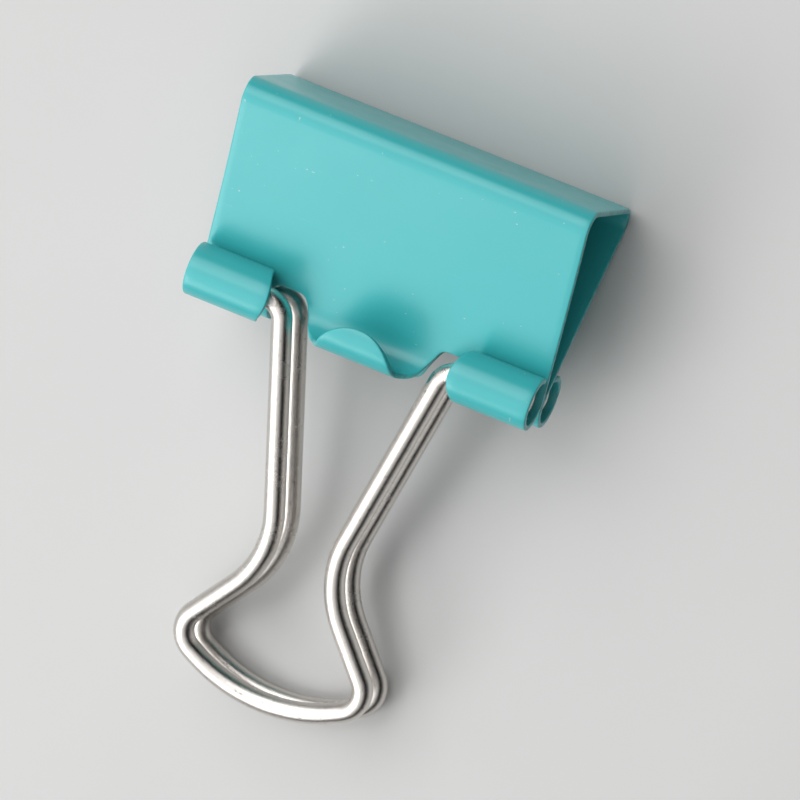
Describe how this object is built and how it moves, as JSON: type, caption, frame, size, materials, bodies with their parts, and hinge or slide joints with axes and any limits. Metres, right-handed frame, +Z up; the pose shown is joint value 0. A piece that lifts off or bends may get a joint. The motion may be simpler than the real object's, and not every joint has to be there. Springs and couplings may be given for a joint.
{
  "type": "binder clip",
  "caption": "Small binder clip of bent spring steel with rolled jaw edges and folding wire handles, lying down with both handles swung forward.",
  "frame": {"origin": "middle of the footprint, on the surface that the clip lies on", "axes": "+Y from the handles' loops towards the spine, +X along the jaws, +Z up, out of the front plate"},
  "size_m": [0.019, 0.0326, 0.0082],
  "materials": {
    "enamelled_sheet": "smooth turquoise enamel, semi-gloss",
    "plated_wire": "bright nickel plate with fine drawing lines"
  },
  "bodies": {
    "rear_jaw": {"rear_jaw_sheet": "enamelled_sheet"},
    "front_jaw": {"front_jaw_sheet": "enamelled_sheet"},
    "front_handle": {"front_handle": "plated_wire"},
    "rear_handle": {"rear_handle": "plated_wire"}
  },
  "joints": [
    {"name": "jaw_flex", "type": "hinge", "parent": "rear_jaw", "child": "front_jaw", "pos_m": [0, 0.01581, 0.00395], "axis": [-1, 0, 0], "range_deg": [0, 45], "stiffness_Nm_per_rad": 0.3},
    {"name": "front_handle_swing", "type": "hinge", "parent": "front_jaw", "child": "front_handle", "pos_m": [0, 0.00575, 0.00683], "axis": [-1, 0, 0], "range_deg": [0, 176.5]},
    {"name": "rear_handle_swing", "type": "hinge", "parent": "rear_jaw", "child": "rear_handle", "pos_m": [0, 0.00535, 0.004], "axis": [1, 0, 0], "range_deg": [0, 141.7]}
  ]
}
